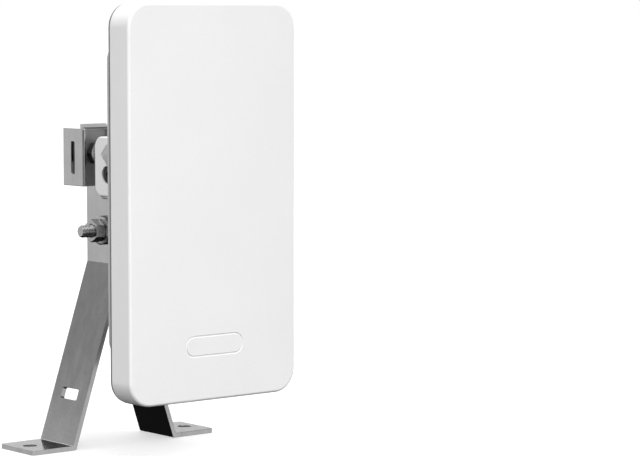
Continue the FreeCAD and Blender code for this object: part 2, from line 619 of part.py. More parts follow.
def ground_terminal():
    place = V(GROUND_X, SEAM_Y, SCREW_Z[0])
    washer = ring(9.0, 3.4, place, Y_AXIS, 0.8)
    save("ground_washer", washer)
    save("ground_screw", pan_screw(place + Y_AXIS * 0.8, Y_AXIS, 6.8, 3.4, 6.5))


def vent_plug():
    """Breather in the bay's roof."""
    place = V(VENT_X, BOARD_Y[1] + JACK_MOUTH_UP, TUB_Z[0])
    cap = rod(8.6, place, Z_AXIS * -1, 1.8)
    cap = cap.makeFillet(0.6, edges_on_plane(cap, "z", TUB_Z[0] - 1.8))
    stem = rod(6.0, place, Z_AXIS, WALL + 0.6)
    bore = rod(1.6, place - Z_AXIS * 3, Z_AXIS, 8)
    save("vent_plug", cap.fuse(stem).cut(bore).removeSplitter())


def label_plate():
    y = (BACK_Y, BACK_Y + 0.3)
    save("label_plate", rounded_plate(27.0, (113.0, 147.0), y, 2.0))


# ---- inside the panel
def main_board():
    board = box((-BOARD_HALF_X, BOARD_HALF_X), BOARD_Y, BOARD_Z)
    holes = [rod(3.2, V(x, BOARD_Y[0] - 1, z), Y_AXIS, 4) for x, z in board_screw_places()]
    save("main_board", board.cut(holes))


def board_screw_places():
    inset = 5.0
    xs = (-BOARD_HALF_X + inset, BOARD_HALF_X - inset)
    return [(x, z) for x in xs for z in (BOARD_Z[0] + 26.0, BOARD_Z[1] - inset)]


def board_fixings():
    """Spacers between the reflector and the board, and the screws through them."""
    spacers = []
    screws = []
    for x, z in board_screw_places():
        start = V(x, REFLECTOR_Y[1], z)
        spacers.append(ring(6.0, 3.0, start, Y_AXIS, BOARD_Y[0] - REFLECTOR_Y[1]))
        screws.append(pan_screw(V(x, BOARD_Y[1], z), Y_AXIS, 5.6, 3.0, BOARD_Y[1] - REFLECTOR_Y[0]))
    save("board_spacers", *spacers)
    save("board_screws", *screws)


def shield_cans():
    cans = []
    for x, z, w, h in ((-16.0, 150.0, 30.0, 34.0), (20.0, 156.0, 26.0, 26.0)):
        can = box((x - w / 2, x + w / 2), (BOARD_Y[1], BOARD_Y[1] + 3.4), (z - h / 2, z + h / 2))
        cans.append(can.makeFillet(0.6, edges_on_plane(can, "y", BOARD_Y[1] + 3.4)))
    save("shield_cans", *cans)


def ethernet_jacks():
    jacks = []
    bottom = TUB_Z[0] + WALL + SEAL_T
    for x in JACK_X:
        body_x = (x - JACK[0] / 2, x + JACK[0] / 2)
        body = box(body_x, (BOARD_Y[1], BOARD_Y[1] + JACK[1]), (bottom, bottom + JACK[2]))
        mid_y = BOARD_Y[1] + JACK_MOUTH_UP
        mouth_x = (x - JACK_MOUTH[0] / 2, x + JACK_MOUTH[0] / 2)
        mouth_y = (mid_y - JACK_MOUTH[1] / 2, mid_y + JACK_MOUTH[1] / 2)
        mouth = box(mouth_x, mouth_y, (bottom - 1, bottom + JACK_MOUTH[2]))
        jacks.append(body.cut(mouth))
    save("ethernet_jacks", *jacks)


def jack_contacts():
    """Gold springs that cross each jack's mouth."""
    springs = []
    bottom = TUB_Z[0] + WALL + SEAL_T
    pitch = 1.02
    for x in JACK_X:
        for number in range(8):
            spring_x = x + (number - 3.5) * pitch
            low_y = BOARD_Y[1] + JACK_MOUTH_UP - JACK_MOUTH[1] / 2
            strip_x = (spring_x - 0.2, spring_x + 0.2)
            springs.append(box(strip_x, (low_y, low_y + 0.5), (bottom + 3.0, bottom + JACK_MOUTH[2])))
    save("jack_contacts", *springs)


def port_seals():
    """Rubber frames between the jacks and the bay's roof."""
    seals = []
    low = TUB_Z[0] + WALL
    for x in JACK_X:
        mid_y = BOARD_Y[1] + JACK_MOUTH_UP
        outer = box((x - 7.6, x + 7.6), (mid_y - 5.4, mid_y + 5.0), (low, low + SEAL_T))
        inner = box((x - 6.2, x + 6.2), (mid_y - 4.1, mid_y + 4.1), (low - 1, low + 2))
        seals.append(outer.cut(inner))
    save("port_seals", *seals)


def reset_parts():
    """Plunger in the bay's roof and the switch that it presses."""
    y = BOARD_Y[1] + JACK_MOUTH_UP
    foot = TUB_Z[0] - 0.8
    top = TUB_Z[0] + WALL + 1.4
    plunger = rod(BUTTON_D, V(BUTTON_X, y, foot), Z_AXIS, top - foot)
    plunger = plunger.makeFillet(0.5, edges_on_plane(plunger, "z", foot))
    collar = rod(BUTTON_D + 1.6, V(BUTTON_X, y, TUB_Z[0] + WALL + 0.3), Z_AXIS, 1.1)
    save("reset_button", plunger.fuse(collar).removeSplitter())
    switch_z = top + BUTTON_TRAVEL + 0.1
    switch_y = (BOARD_Y[1], BOARD_Y[1] + 9.0)
    switch = box((BUTTON_X - 3, BUTTON_X + 3), switch_y, (switch_z, switch_z + 4))
    save("reset_switch", switch.makeFillet(0.4, edges_on_plane(switch, "y", switch_y[1])))


def light_pipes():
    pipes = []
    for x in LIGHT_X:
        pipe = rod(LIGHT_D, V(x, BOARD_Y[1] + 1.2, LIGHT_Z), Y_AXIS, BACK_Y + 0.2 - BOARD_Y[1] - 1.2)
        pipes.append(pipe.makeFillet(0.6, edges_on_plane(pipe, "y", BACK_Y + 0.2)))
    save("light_pipes", *pipes)


def reflector():
    plate = rounded_plate(REFLECTOR_HALF_X, REFLECTOR_Z, REFLECTOR_Y, 4.0)
    holes = [rod(3.2, V(x, REFLECTOR_Y[0] - 1, z), Y_AXIS, 4) for x, z in board_screw_places()]
    save("antenna_reflector", plate.cut(holes))


def antenna():
    board = rounded_plate(ANTENNA_HALF_X, ANTENNA_Z, ANTENNA_Y, 3.0)
    save("antenna_board", board)
    patches = []
    for x in PATCH_COLUMNS:
        for z in PATCH_ROWS:
            half = PATCH / 2
            y = (ANTENNA_Y[0] - PATCH_T, ANTENNA_Y[0])
            patches.append(box((x - half, x + half), y, (z - half, z + half)))
    save("antenna_patches", *patches)
    posts = []
    for x in (-ANTENNA_HALF_X + 5, ANTENNA_HALF_X - 5):
        for z in (ANTENNA_Z[0] + 5, (ANTENNA_Z[0] + ANTENNA_Z[1]) / 2, ANTENNA_Z[1] - 5):
            start = V(x, ANTENNA_Y[1], z)
            posts.append(rod(SPACER_D, start, Y_AXIS, REFLECTOR_Y[0] - ANTENNA_Y[1]))
    save("antenna_spacers", *posts)


def main():
    os.makedirs("parts", exist_ok=True)
    legs()
    leg_fasteners()
    clamp_channel()
    swivel_bolt()
    swivel_stack()
    knuckle()
    pivot_fasteners()
    clamp_fasteners()
    tilt_arm()
    arm_screws()
    front_cover()
    rear_cover()
    cover_gasket()
    cover_screws()
    ground_terminal()
    vent_plug()
    label_plate()
    main_board()
    board_fixings()
    shield_cans()
    ethernet_jacks()
    jack_contacts()
    port_seals()
    reset_parts()
    light_pipes()
    reflector()
    antenna()


main()
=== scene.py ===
"""The looks of an outdoor wireless bridge: moulded panel, plated bracket, cut threads and studio light."""
import json
import math

import bmesh
import bpy
from mathutils import Matrix, Vector


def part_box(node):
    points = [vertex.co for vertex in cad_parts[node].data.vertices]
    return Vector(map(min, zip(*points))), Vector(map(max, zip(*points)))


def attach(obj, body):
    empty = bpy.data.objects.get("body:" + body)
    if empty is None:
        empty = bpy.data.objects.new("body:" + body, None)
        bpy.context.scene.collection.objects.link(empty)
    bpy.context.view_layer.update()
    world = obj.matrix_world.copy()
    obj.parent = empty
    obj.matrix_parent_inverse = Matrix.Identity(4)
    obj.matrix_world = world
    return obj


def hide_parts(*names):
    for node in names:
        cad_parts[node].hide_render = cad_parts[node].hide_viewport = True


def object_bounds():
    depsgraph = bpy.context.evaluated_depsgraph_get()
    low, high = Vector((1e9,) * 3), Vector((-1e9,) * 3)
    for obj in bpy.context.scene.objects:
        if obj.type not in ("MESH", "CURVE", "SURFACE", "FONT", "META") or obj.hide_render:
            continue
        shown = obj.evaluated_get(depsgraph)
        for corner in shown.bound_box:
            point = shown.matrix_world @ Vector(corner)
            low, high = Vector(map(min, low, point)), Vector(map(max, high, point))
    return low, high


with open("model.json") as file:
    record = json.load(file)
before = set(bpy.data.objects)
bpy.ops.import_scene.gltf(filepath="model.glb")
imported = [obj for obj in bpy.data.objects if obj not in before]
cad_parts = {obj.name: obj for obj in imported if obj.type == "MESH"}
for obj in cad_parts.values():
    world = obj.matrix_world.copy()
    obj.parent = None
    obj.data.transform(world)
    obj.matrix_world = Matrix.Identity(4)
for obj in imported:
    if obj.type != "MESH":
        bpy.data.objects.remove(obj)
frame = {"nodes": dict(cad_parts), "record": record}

CAD_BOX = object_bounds()
MM = 0.001
TAU = math.tau

# Metric hardware: thread diameter, pitch, width across the flats, and across a button head's socket.
M8 = {"d": 8.0 * MM, "pitch": 1.25 * MM, "flats": 13.0 * MM, "socket": 5.0 * MM}
M6 = {"d": 6.0 * MM, "pitch": 1.0 * MM, "flats": 10.0 * MM}
M5 = {"d": 5.0 * MM, "pitch": 0.8 * MM, "flats": 8.0 * MM, "socket": 3.0 * MM}


# ---------------------------------------------------------------- finishes
class Finish:
    """A procedural material, built up in the object's own coordinates."""

    def __init__(self, name, roughness, metallic=0.0, **constants):
        self.material = bpy.data.materials.new(name)
        self.material.use_nodes = True
        self.tree = self.material.node_tree
        self.shader = self.tree.nodes["Principled BSDF"]
        self.shader.inputs["Roughness"].default_value = roughness
        self.shader.inputs["Metallic"].default_value = metallic
        for socket, value in constants.items():
            self.shader.inputs[socket.replace("_", " ")].default_value = value
        self.place = self.add("ShaderNodeTexCoord").outputs["Object"]
        self.relief = None

    def add(self, kind, **inputs):
        node = self.tree.nodes.new(kind)
        for name, value in inputs.items():
            socket = node.inputs[name.replace("_", " ")]
            if isinstance(value, bpy.types.NodeSocket):
                self.tree.links.new(value, socket)
            else:
                socket.default_value = value
        return node

    def stretched(self, x, y, z):
        """The object's coordinates, scaled unevenly: a small factor draws the pattern out."""
        return self.add("ShaderNodeMapping", Vector=self.place, Scale=(x, y, z)).outputs["Vector"]

    def noise(self, size, detail=2.0, place=None, rough=0.5):
        """Soft noise whose features are about size metres."""
        node = self.add("ShaderNodeTexNoise", Vector=place or self.place, Scale=1 / size)
        node.inputs["Detail"].default_value = detail
        node.inputs["Roughness"].default_value = rough
        return node.outputs["Fac"]

    def cells(self, size, place=None):
        node = self.add("ShaderNodeTexVoronoi", Vector=place or self.place, Scale=1 / size)
        return node.outputs["Distance"]

    def remap(self, value, low, high, from_low=0.3, from_high=0.7):
        node = self.add("ShaderNodeMapRange", Value=value)
        node.inputs["From Min"].default_value = from_low
        node.inputs["From Max"].default_value = from_high
        node.inputs["To Min"].default_value = low
        node.inputs["To Max"].default_value = high
        return node.outputs["Result"]

    def maths(self, operation, *values):
        node = self.tree.nodes.new("ShaderNodeMath")
        node.operation = operation
        for socket, value in zip(node.inputs, values):
            self.tree.links.new(value, socket)
        return node.outputs["Value"]

    def mix(self, factor, first, second):
        node = self.tree.nodes.new("ShaderNodeMix")
        node.data_type = "RGBA"
        self.tree.links.new(factor, node.inputs["Factor"])
        for socket, value in ((node.inputs["A"], first), (node.inputs["B"], second)):
            if isinstance(value, bpy.types.NodeSocket):
                self.tree.links.new(value, socket)
            else:
                socket.default_value = (*value, 1.0)
        return node.outputs["Result"]

    def colour(self, value):
        self.tree.links.new(value, self.shader.inputs["Base Color"])

    def rough(self, value):
        self.tree.links.new(value, self.shader.inputs["Roughness"])

    def glow(self, strength):
        self.shader.inputs["Emission Color"].default_value = (1, 1, 1, 1)
        self.shader.inputs["Emission Strength"].default_value = strength

    def bump(self, height, depth, strength=1.0):
        """Adds relief of that depth in metres on top of what is there."""
        node = self.add("ShaderNodeBump", Height=height, Distance=depth, Strength=strength)
        if self.relief is not None:
            self.tree.links.new(self.relief, node.inputs["Normal"])
        self.relief = node.outputs["Normal"]
        self.tree.links.new(self.relief, self.shader.inputs["Normal"])


def grey(value, warmth=0.0):
    return (value * (1 + warmth), value, value * (1 - warmth))


def moulded_plastic(name, base, grain, roughness=0.42):
    """Pigmented plastic with spark-eroded grain, faint flow marks and dust in the grain."""
    finish = Finish(name, roughness, IOR=1.49)
    flow = finish.noise(0.06, 3.0)
    speckle = finish.noise(0.0011, 2.0)
    soft = finish.mix(finish.remap(flow, 0, 1), grey(base * 0.975, 0.002), grey(base, -0.001))
    finish.colour(finish.mix(finish.remap(speckle, 0, 0.35), soft, grey(base * 0.93)))
    finish.rough(finish.remap(finish.noise(0.018, 4.0), roughness - 0.06, roughness + 0.07))
    finish.bump(finish.noise(0.045, 1.0), 0.00006)
    finish.bump(finish.cells(grain), 0.000018, 0.8)
    finish.bump(finish.noise(grain * 0.55, 3.0), 0.000012, 0.8)
    return finish.material


def plated_sheet(name, base, along, dull=None):
    """Zinc-plated sheet: rolling lines along one axis, cloudy plating, handling scratches.

    dull is the half width and top of a pocket whose colour is darkened as painted shade and whose roughness
    is raised.
    """
    finish = Finish(name, 0.36, 1.0)
    fine, wide = [2.4] * 3, [1.0] * 3
    fine[along] = 0.06
    wide[along] = 0.12
    lines = finish.noise(0.0011, 4.0, finish.stretched(*fine), 0.6)
    cloud = finish.noise(0.014, 4.0)
    smear = finish.noise(0.006, 3.0, finish.stretched(*wide))
    tone = finish.mix(finish.remap(cloud, 0, 1), grey(base * 0.92), grey(base * 1.05, 0.006))
    tone = finish.mix(finish.remap(lines, 0, 0.5), tone, grey(base * 0.80))
    rough = finish.remap(smear, 0.11, 0.19)
    # Painted shade: inside the pocket the sheet's colour is darkened, standing for the shade in the channel's
    # recess, and its roughness is raised.
    if dull:
        edge = 0.3 * MM
        half_x, top = dull
        split = finish.add("ShaderNodeSeparateXYZ", Vector=finish.place).outputs
        across = finish.maths("ABSOLUTE", split["X"])
        painted_shade_mask = finish.maths(
            "MULTIPLY",
            finish.remap(across, 1.0, 0.0, half_x - edge, half_x),
            finish.remap(split["Z"], 1.0, 0.0, top - edge, top),
        )
        # Painted shade: darker colour inside the pocket.
        tone = finish.mix(painted_shade_mask, tone, grey(base * 0.80))
        rough = finish.maths("ADD", rough, finish.remap(painted_shade_mask, 0.0, 0.34, 0.0, 1.0))
    finish.colour(tone)
    finish.rough(rough)
    finish.bump(lines, 0.000010, 0.7)
    finish.bump(finish.noise(0.009, 2.0), 0.00004, 0.5)
    scratch = finish.add("ShaderNodeTexVoronoi", Vector=finish.stretched(1.0, 0.16, 0.4), Scale=260)
    scratch.feature = "DISTANCE_TO_EDGE"
    thin = finish.remap(scratch.outputs["Distance"], 0.0, 1.0, 0.0, 0.02)
    finish.bump(thin, 0.000006, 0.4)
    return finish.material


def turned_metal(name, base, roughness, warmth=0.0, metallic=1.0):
    """Machined or plated fastener: fine tool marks, dull patches, darker hollows."""
    finish = Finish(name, roughness, metallic)
    marks = finish.noise(0.00035, 3.0)
    patch = finish.noise(0.0035, 4.0)
    tone = finish.mix(finish.remap(patch, 0, 1), grey(base * 0.80, warmth), grey(base * 1.08, warmth))
    finish.colour(finish.mix(finish.remap(marks, 0, 0.4), tone, grey(base * 0.6, warmth)))
    finish.rough(finish.remap(patch, roughness - 0.08, roughness + 0.12))
    finish.bump(marks, 0.000010, 0.7)
    finish.bump(finish.noise(0.0016, 2.0), 0.00003, 0.5)
    return finish.material


def rubber(name, base):
    finish = Finish(name, 0.72)
    bloom = finish.noise(0.007, 4.0)
    finish.colour(finish.mix(finish.remap(bloom, 0, 1), grey(base), grey(base * 1.5)))
    finish.rough(finish.remap(bloom, 0.62, 0.82))
    finish.bump(finish.noise(0.0006, 3.0), 0.00003, 0.8)
    return finish.material


def circuit_board(name, base, line):
    """Solder mask over a glass weave with tracks showing through."""
    finish = Finish(name, 0.34)
    split = finish.add("ShaderNodeSeparateXYZ", Vector=finish.place).outputs
    flat = finish.add("ShaderNodeCombineXYZ", X=split["X"], Y=split["Z"]).outputs["Vector"]
    bricks = finish.add("ShaderNodeTexBrick", Vector=flat, Scale=260.0)
    tracks = finish.remap(bricks.outputs["Fac"], 0, 1, 0.2, 0.8)
    cloud = finish.noise(0.004, 3.0)
    mask = finish.mix(finish.remap(cloud, 0, 1), base, tuple(c * 0.8 for c in base))
    finish.colour(finish.mix(tracks, mask, line))
    finish.rough(finish.remap(cloud, 0.28, 0.42))
    finish.bump(tracks, 0.00004, 0.6)
    return finish.material


def clear_plastic(name):
    finish = Finish(name, 0.12, IOR=1.49, Transmission_Weight=0.7)
    cloud = finish.noise(0.002, 3.0)
    finish.colour(finish.mix(finish.remap(cloud, 0, 1), (0.80, 0.86, 0.83), (0.90, 0.94, 0.92)))
    finish.rough(finish.remap(cloud, 0.08, 0.2))
    finish.bump(cloud, 0.00002, 0.4)
    return finish.material


def blank_label(name):
    """Satin polyester film with a fine laid texture."""
    finish = Finish(name, 0.38)
    lay = finish.noise(0.0007, 3.0, finish.stretched(0.3, 1, 1.6))
    finish.colour(finish.mix(finish.remap(lay, 0, 1), grey(0.60), grey(0.70, 0.004)))
    finish.rough(finish.remap(finish.noise(0.01), 0.30, 0.46))
    finish.bump(lay, 0.000012, 0.7)
    return finish.material


FINISHES = {
    "shell_white": moulded_plastic("moulded shell white", 0.86, 0.0009),
    "shell_grey": moulded_plastic("moulded rear cover", 0.57, 0.0009),
    "bracket_white": moulded_plastic("moulded bracket white", 0.93, 0.0007, 0.40),
    "zinc_steel": plated_sheet("plated sheet steel", 0.53, 2),
    "zinc_fastener": turned_metal("bright zinc fastener", 0.56, 0.24),
    "black_fastener": turned_metal("black oxide fastener", 0.035, 0.38, 0.0, 0.7),
    "screw_steel": turned_metal("stainless screw", 0.60, 0.30),
    "brass_screw": turned_metal("brass", 0.50, 0.34, 0.30),
    "rubber_black": rubber("black rubber", 0.018),
    "trim_grey": rubber("grey soft trim", 0.15),
    "vent_black": moulded_plastic("moulded black", 0.035, 0.0005, 0.5),
    "button_black": moulded_plastic("moulded charcoal", 0.06, 0.0004, 0.45),
    "label_silver": blank_label("blank label film"),
    "board_green": circuit_board("solder mask green", (0.012, 0.11, 0.045), (0.03, 0.20, 0.08)),
    "antenna_laminate": circuit_board("antenna laminate", (0.48, 0.43, 0.28), (0.56, 0.50, 0.34)),
    "copper_patch": turned_metal("etched copper", 0.60, 0.36, 0.35),
    "reflector_aluminium": plated_sheet("rolled aluminium", 0.70, 0),
    "tin_shield": plated_sheet("tinned shield", 0.62, 2),
    "gold_contact": turned_metal("gold flash", 0.62, 0.26, 0.38),
    "nylon_white": moulded_plastic("natural nylon", 0.72, 0.0006, 0.5),
    "light_pipe": clear_plastic("clear light pipe"),
}

for entry in frame["record"]["subparts"]:
    node = frame["nodes"][entry["node"]]
    node.data.materials.clear()
    node.data.materials.append(FINISHES[entry["material_slot"]])

# How far within the clamp channel's outer faces its pocket of painted shade stops: at the bends, and below
# the upper edge.
CHANNEL_BEND = 1.8 * MM
CHANNEL_LIP = 3.1 * MM
low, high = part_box("clamp_channel")
pocket = (high[0] - CHANNEL_BEND, high[2] - CHANNEL_LIP)
# The channel's own finish, with painted shade darkening its pocket.
channel_finish = plated_sheet("plated channel", 0.53, 2, pocket)
frame["nodes"]["clamp_channel"].data.materials[0] = channel_finish


# ---------------------------------------------------------------- carried-over CAD shapes
def soften(name, width, angle=35.0):
    """Rounds the sharp edges of a CAD shape, as bending, moulding and tumbling leave them."""
    node = frame["nodes"][name]
    node.data.polygons.foreach_set("use_smooth", [True] * len(node.data.polygons))
    weld = node.modifiers.new("weld", "WELD")
    weld.merge_threshold = 1e-6
    flat = node.modifiers.new("flat", "DECIMATE")
    flat.decimate_type = "DISSOLVE"
    flat.angle_limit = math.radians(0.6)
    edge = node.modifiers.new("edge", "BEVEL")
    edge.width = width
    edge.segments = 2
    edge.limit_method = "ANGLE"
    edge.angle_limit = math.radians(angle)
    even = node.modifiers.new("even", "WEIGHTED_NORMAL")
    even.weight = 100


for name, width in (
    ("left_leg", 0.5 * MM), ("right_leg", 0.5 * MM), ("clamp_channel", 0.2 * MM),
    ("knuckle", 0.3 * MM), ("tilt_arm", 0.3 * MM), ("front_cover", 0.18 * MM),
    ("rear_cover", 0.2 * MM), ("ethernet_jacks", 0.15 * MM), ("main_board", 0.1 * MM),
):
    soften(name, width)


# ---------------------------------------------------------------- turned and threaded hardware
def along(axis, x, y, z, spin=0.0):
    """Matrix whose local z runs along an axis of the frame from a point in metres, spun in degrees."""
    direction = {"X": Vector((1, 0, 0)), "Y": Vector((0, 1, 0)), "Z": Vector((0, 0, 1))}[axis[-1]]
    if axis[0] == "-":
        direction = -direction
    across = Vector((0, 1, 0)) if axis[-1] == "X" else Vector((1, 0, 0))
    side = direction.cross(across)
    turn = Matrix((across, side, direction)).transposed().to_4x4()
    return Matrix.Translation((x, y, z)) @ turn @ Matrix.Rotation(math.radians(spin), 4, "Z")


class Piece:
    """Gathers faces for one object, then makes it a piece that rides on a body."""

    def __init__(self, place):
        self.place = place
        self.verts = []
        self.faces = []
        self.fine = set()

    def rings(self, rings, joined=False, capped=(False, False), fine=False):
        """Skin over rings of points. The edges of a fine one, such as a thread, aren't rounded."""
        start, count, total = len(self.verts), len(rings[0]), len(rings)
        for ring in rings:
            self.verts += [self.place @ Vector(point) for point in ring]
        if fine:
            self.fine.update(range(start, len(self.verts)))
        for i in range(total if joined else total - 1):
            low = start + i * count
            high = start + (i + 1) % total * count
            for j in range(count):
                k = (j + 1) % count
                self.faces.append((low + j, low + k, high + k, high + j))
        if capped[0]:
            self.faces.append(tuple(start + j for j in reversed(range(count))))
        if capped[1]:
            last = start + (total - 1) * count
            self.faces.append(tuple(last + j for j in range(count)))
        return self

    def turned(self, profile, count=72, joined=False, capped=(False, False)):
        """Surface of revolution from (radius, height) pairs."""
        return self.rings([circle(r, z, count) for r, z in profile], joined, capped)

    def build(self, name, body, slot, replaces, edge=0.0, angle=32.0):
        mesh = bpy.data.meshes.new(name)
        mesh.from_pydata(self.verts, [], self.faces)
        mesh.validate()
        tool = bmesh.new()
        tool.from_mesh(mesh)
        bmesh.ops.recalc_face_normals(tool, faces=tool.faces)
        weight = tool.edges.layers.float.new("bevel_weight_edge")
        for line in tool.edges:
            fine = any(vert.index in self.fine for vert in line.verts)
            if not fine and line.is_manifold and line.calc_face_angle() > math.radians(angle):
                line[weight] = 1.0
        tool.to_mesh(mesh)
        tool.free()
        mesh.polygons.foreach_set("use_smooth", [True] * len(mesh.polygons))
        piece = bpy.data.objects.new(name, mesh)
        bpy.context.collection.objects.link(piece)
        mesh.materials.append(FINISHES[slot])
        if edge:
            bevel = piece.modifiers.new("edge", "BEVEL")
            bevel.width = edge
            bevel.segments = 2
            bevel.limit_method = "WEIGHT"
            even = piece.modifiers.new("even", "WEIGHTED_NORMAL")
            even.weight = 100
        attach(piece, body)
        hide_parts(*replaces)
        return piece


def circle(radius, z, count=72):
    """Ring of points, on the local x and y axes."""
    return [(radius * math.cos(TAU * i / count), radius * math.sin(TAU * i / count), z) for i in range(count)]


# Radius of the circle that takes the corners off a hexagon, as a share of its width across the flats.
CORNER_CIRCLE = 0.569


def hexagon(flats, z, inset=0.0, lift=0.0, count=96):
    """Ring round a hexagon. The points that stand out past the chamfer's circle are lifted along the cone."""
    ring = []
    inner = flats / 2 - inset
    for i in range(count):
        angle = TAU * i / count
        radius = flats / 2 / math.cos(angle % (TAU / 6) - TAU / 12)
        radius = min(radius, flats * CORNER_CIRCLE)
        drop = (radius - inner) * math.tan(math.radians(30)) * lift
        ring.append((radius * math.cos(angle), radius * math.sin(angle), z + drop))
    return ring


def square(corner, z):
    """Ring of four corners, on the local x and y axes."""
    return [(corner, 0, z), (0, corner, z), (-corner, 0, z), (0, -corner, z)]


def nut_rings(flats, height, bore, chamfered=(True, True)):
    """Closed loop of rings: bore, washer face, chamfered hexagon and back."""
    count = 96
    inset = 0.35 * MM
    face = flats / 2 - inset
    sink = 0.45 * MM
    low = hexagon(flats, 0, inset, 1 if chamfered[0] else 0)
    high = hexagon(flats, height, inset, -1 if chamfered[1] else 0)
    return [
        circle(bore / 2, sink, count),
        circle(bore / 2 + sink, 0, count),
        circle(face, 0, count),
        low,
        high,
        circle(face, height, count),
        circle(bore / 2 + sink, height, count),
        circle(bore / 2, height - sink, count),
    ]


# Depth of a screw thread, as a share of its pitch.
THREAD_DEPTH = 0.54


def thread_rings(diameter, pitch, length, tip, count=56, steps=9):
    """Rings of a screw thread from its chamfered tip at z = 0."""
    depth = pitch * THREAD_DEPTH
    rings = []
    total = int(length / pitch * steps)
    for i in range(total + 1):
        z = length * i / total
        ring = []
        for j in range(count):
            phase = (z / pitch - j / count) % 1.0
            crest = min(max(1.25 - abs(2 * phase - 1) * 1.5, 0.0), 1.0)
            radius = diameter / 2 - depth * (1 - crest)
            radius = min(radius, diameter / 2 - tip + z)
            angle = TAU * j / count
            ring.append((radius * math.cos(angle), radius * math.sin(angle), z))
        rings.append(ring)
    return rings


def washer_profile(inner, outer, thickness, round_by=0.25 * MM):
    """Stamped washer: rolled upper edge, small burr-free lower edge."""
    r, t = round_by, thickness
    return [
        (inner + r * 0.4, 0), (outer - r * 0.4, 0), (outer, r * 0.4), (outer, t - r),
        (outer - r * 0.3, t - r * 0.3), (outer - r, t), (inner + r, t), (inner + r * 0.3, t - r * 0.3),
        (inner, t - r), (inner, r * 0.4),
    ]


def middle(node):
    """Centre of a CAD node's box."""
    low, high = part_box(node)
    return (low + high) / 2


def leg_hardware():
    """The cross bolt through both straps, with its nut and washers."""
    low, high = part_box("leg_bolt")
    _, y, z = middle("leg_bolt")
    washer_low, washer_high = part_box("leg_washers")
    head = high.x - washer_high.x
    bolt = Piece(along("X", low.x, y, z))
    rings = thread_rings(M8["d"], M8["pitch"], washer_high.x - low.x, 0.9 * MM)
    bolt.rings([circle(3.0 * MM, 0, 56)] + rings, capped=(True, True), fine=True)
    bolt.place = along("X", washer_high.x, y, z, 30)
    flats = M8["flats"]
    rings = [
        circle(flats / 2 * 0.92, 0, 96),
        hexagon(flats, 0.3 * MM),
        hexagon(flats, head, 0.3 * MM, -1),
        circle(flats / 2 - 0.3 * MM, head, 96),
        circle(flats / 2 * 0.66, head, 96),
        circle(flats / 2 * 0.60, head - 0.3 * MM, 96),
        circle(0.4 * MM, head - 0.3 * MM, 96),
    ]
    bolt.rings(rings, capped=(True, True))
    bolt.build("leg_bolt_cut", "stand", "zinc_fastener", ["leg_bolt"], 0.12 * MM)

    low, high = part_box("leg_nut")
    nut = Piece(along("-X", high.x, y, z, 30))
    nut.rings(nut_rings(M8["flats"], high.x - low.x, M8["d"], (True, False)), joined=True)
    nut.build("leg_nut_cut", "stand", "zinc_fastener", ["leg_nut"], 0.15 * MM)

    washers = Piece(None)
    thick = 3.0 * MM
    radius = (washer_high.z - washer_low.z) / 2
    for axis, x in (("X", washer_high.x - thick), ("-X", washer_low.x + thick)):
        washers.place = along(axis, x, y, z)
        washers.turned(washer_profile(M8["d"] / 2, radius, thick), joined=True)
    washers.build("leg_washers_cut", "stand", "zinc_fastener", ["leg_washers"])


# Section of the spring washer: radius in millimetres, and share of the thickness.
COIL_SECTION = (
    (4.1, 0.0), (6.9, 0.0), (7.0, 0.1), (7.0, 0.9),
    (6.9, 1.0), (4.1, 1.0), (4.0, 0.9), (4.0, 0.1),
)


def swivel_hardware():
    """Bolt, washers and nuts along the swivel's axis."""
    low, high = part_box("swivel_bolt")
    x, _, z = middle("swivel_bolt")
    head = 4.0 * MM
    bolt = Piece(along("-Y", x, high.y, z))
    length = high.y - low.y - head
    rings = thread_rings(M8["d"], M8["pitch"], length, 0.7 * MM)
    bolt.rings([circle(2.4 * MM, 0, 56)] + rings, capped=(True, True), fine=True)
    bolt.place = along("Y", x, low.y, z)
    count = 72
    socket = hexagon(M8["socket"], 0, count=count)
    deep = [(px, py, 2.6 * MM) for px, py, _ in socket]
    rings = [
        circle(0.3 * MM, 2.9 * MM, count),
        deep,
        socket,
        circle(7.6 * MM, 0, count),
        circle(8.0 * MM, 0.25 * MM, count),
        circle(4.0 * MM, head, count),
    ]
    bolt.rings(rings, capped=(True, True))
    bolt.build("swivel_bolt_cut", "stand", "zinc_fastener", ["swivel_bolt"], 0.1 * MM)

    low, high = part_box("swivel_nuts")
    nuts = Piece(along("Y", x, low.y, z))
    full, jam = 6.8 * MM, 4.0 * MM
    nuts.rings(nut_rings(M8["flats"], full, M8["d"]), joined=True)
    nuts.place = along("Y", x, high.y - jam, z)
    nuts.rings(nut_rings(M8["flats"], jam, M8["d"]), joined=True)
    nuts.build("swivel_nuts_cut", "stand", "black_fastener", ["swivel_nuts"], 0.15 * MM)

    low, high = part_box("swivel_washers")
    coil_low, coil_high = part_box("swivel_spring_washer")
    radius = (high.z - low.z) / 2
    washers = Piece(along("Y", x, low.y, z))
    washers.turned(washer_profile(M8["d"] / 2, radius, coil_low.y - low.y, 0.35 * MM), joined=True)
    washers.place = along("Y", x, coil_high.y, z)
    washers.turned(washer_profile(M8["d"] / 2, 6.9 * MM, high.y - coil_high.y), joined=True)
    washers.build("swivel_washers_cut", "stand", "zinc_fastener", ["swivel_washers"])

    coil = Piece(along("Y", x, coil_low.y, z))
    thick = coil_high.y - coil_low.y
    rings = []
    steps = 84
    for i in range(steps + 1):
        angle = math.radians(8) + (TAU - math.radians(16)) * i / steps
        skew = 0.10 * (1 if i == steps else -1 if i == 0 else 0)
        ring = []
        for radius, level in COIL_SECTION:
            turn = angle + skew * (level - 0.5)
            ring.append((radius * MM * math.cos(turn), radius * MM * math.sin(turn), level * thick))
        rings.append(ring)
    coil.rings(rings, capped=(True, True))
    coil.build("swivel_spring_washer_cut", "stand", "black_fastener", ["swivel_spring_washer"], 0.1 * MM, 50)


